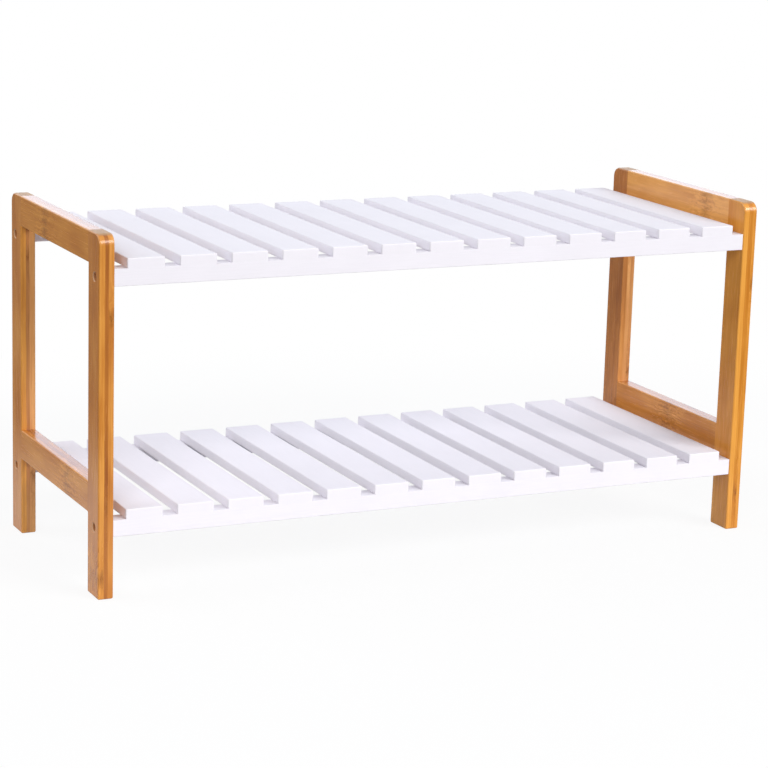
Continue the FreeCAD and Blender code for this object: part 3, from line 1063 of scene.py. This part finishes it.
def floor_material():
    """A floor that the camera sees nearly white, with the shadow of the bench on it."""
    settings = bpy.context.scene.bench_stage
    sheet = NodeSheet(bpy.data.materials.new("pale_floor"))
    place = sheet.place()
    path = sheet.add("ShaderNodeLightPath").outputs
    mottle = sheet.noise(place, FLOOR_MOTTLE)
    darker = [MOTTLE_SHADE * part for part in settings.floor_white]
    pale = sheet.ramp(mottle, [(0.3, darker), (0.7, settings.floor_white)])
    away = sheet.vector_math("LENGTH", sheet.mapped(place, FLOOR_STRETCH), (0, 0, 0), "Value")
    lit = sheet.math("MAXIMUM", path["Is Camera Ray"], sheet.fading(away, *LIT_RING, LIT_WHITE))
    colour = sheet.tint(lit, rgba(settings.floor_grey), pale)
    matt = sheet.add("ShaderNodeBsdfDiffuse", {"Color": colour}).outputs["BSDF"]
    white = sheet.add("ShaderNodeEmission", {"Color": rgba(WHITE), "Strength": 1.0}).outputs["Emission"]
    shaded = sheet.fading(away, *SHADOW_RING, settings.floor_shadow)
    to_camera = sheet.math("MULTIPLY", path["Is Camera Ray"], sheet.math("SUBTRACT", 1.0, shaded))
    mirrored = sheet.math("MAXIMUM", path["Is Glossy Ray"], path["Is Transmission Ray"])
    mirrored = sheet.math("MULTIPLY", mirrored, sheet.between(away, *MIRROR_RING, *MIRROR_WHITE))
    blend = {0: sheet.math("MAXIMUM", to_camera, mirrored), 1: matt, 2: white}
    surface = sheet.add("ShaderNodeMixShader", blend).outputs["Shader"]
    sheet.add("ShaderNodeOutputMaterial", {"Surface": surface})
    return sheet.owner


def light_sky():
    """An even sky, white where it is seen or mirrored."""
    settings = bpy.context.scene.bench_stage
    sheet = NodeSheet(bpy.data.worlds.new("studio_sky"))
    path = sheet.add("ShaderNodeLightPath").outputs
    seen = sheet.math("MAXIMUM", path["Is Camera Ray"], path["Is Glossy Ray"])
    seen = sheet.math("MAXIMUM", seen, path["Is Transmission Ray"])
    colour = sheet.tint(seen, rgba(settings.sky_tint), rgba(WHITE))
    strength = sheet.mix(seen, settings.sky_strength, 1.0)
    sky = sheet.add("ShaderNodeBackground", {"Color": colour, "Strength": strength})
    sheet.add("ShaderNodeOutputWorld", {"Surface": sky.outputs["Background"]})
    bpy.context.scene.world = sheet.owner


def line_of_sight(place, aim):
    """The turn of a lamp or camera that looks from a place at a point."""
    return (Vector(aim) - Vector(place)).to_track_quat("-Z", "Y")


def add_lamp(name, power, tint=WHITE):
    """Adds a rectangular soft lamp that looks at the bench and isn't itself seen."""
    place, size = LAMPS[name]
    bpy.ops.object.light_add(type="AREA", location=place)
    lamp = bpy.context.active_object
    lamp.name = name
    lamp.data.shape = "RECTANGLE"
    lamp.data.size, lamp.data.size_y = size
    lamp.data.energy = power
    lamp.data.color = tint
    lamp.rotation_euler = line_of_sight(place, (CAD_LOW + CAD_HIGH) / 2).to_euler()
    lamp.visible_camera = False


def add_camera():
    """Adds the camera and makes it the scene's own."""
    settings = bpy.context.scene.bench_stage
    bpy.ops.object.camera_add(location=settings.camera_place)
    camera = bpy.context.active_object
    sight = line_of_sight(settings.camera_place, settings.camera_aim)
    camera.rotation_mode = "QUATERNION"
    camera.rotation_quaternion = sight @ Quaternion(Z_AXIS, settings.camera_roll)
    camera.data.sensor_width = SENSOR_WIDTH
    camera.data.lens = settings.focal_length
    camera.data.clip_end = VIEW_DEPTH
    bpy.context.scene.camera = camera


class BENCH_OT_stage(bpy.types.Operator):
    """Set up the floor, the light and the camera"""

    bl_idname = "bench.stage"
    bl_label = "Stage"

    def execute(self, context):
        settings = context.scene.bench_stage
        bpy.ops.object.select_all(action="DESELECT")
        bpy.ops.mesh.primitive_plane_add(size=FLOOR_SIZE, location=(0, 0, -FLOOR_DROP))
        floor = context.active_object
        floor.name = "floor"
        floor.data.materials.append(floor_material())
        light_sky()
        add_lamp("key", settings.key_power)
        add_lamp("front", settings.front_power)
        add_lamp("fill", settings.fill_power, settings.fill_tint)
        add_lamp("wash", settings.wash_power, settings.wash_tint)
        add_camera()
        context.scene.view_settings.view_transform = "Standard"
        return {"FINISHED"}


class BENCH_PT_panel(bpy.types.Panel):
    """Sidebar panel with the steps that make the bench and the values they use"""

    bl_idname = "BENCH_PT_panel"
    bl_label = "Shoe Bench"
    bl_space_type = "VIEW_3D"
    bl_region_type = "UI"
    bl_category = "Shoe Bench"

    def draw(self, context):
        for operator in OPERATORS:
            self.layout.operator(operator.bl_idname)
        for name, group in SETTINGS.items():
            box = self.layout.box()
            for value in group.__annotations__:
                box.prop(getattr(context.scene, name), value)


SETTINGS = {
    "bench_bamboo": BambooSettings,
    "bench_paint": PaintSettings,
    "bench_hardware": HardwareSettings,
    "bench_stage": StageSettings,
}
OPERATORS = (
    BENCH_OT_posts,
    BENCH_OT_side_rails,
    BENCH_OT_shelf_rails,
    BENCH_OT_slats,
    BENCH_OT_hardware,
    BENCH_OT_stage,
)
CLASSES = (*SETTINGS.values(), *OPERATORS, BENCH_PT_panel)


def register():
    """Makes the classes and the scene's settings known to Blender."""
    for kind in CLASSES:
        bpy.utils.register_class(kind)
    for name, group in SETTINGS.items():
        setattr(bpy.types.Scene, name, PointerProperty(type=group))


def unregister():
    """Takes the scene's settings and the classes away again."""
    for name in SETTINGS:
        delattr(bpy.types.Scene, name)
    for kind in reversed(CLASSES):
        bpy.utils.unregister_class(kind)


def main():
    register()
    bpy.ops.bench.posts()
    bpy.ops.bench.side_rails()
    bpy.ops.bench.shelf_rails()
    bpy.ops.bench.slats()
    bpy.ops.bench.hardware()
    bpy.ops.bench.stage()


if __name__ == "__main__":
    main()
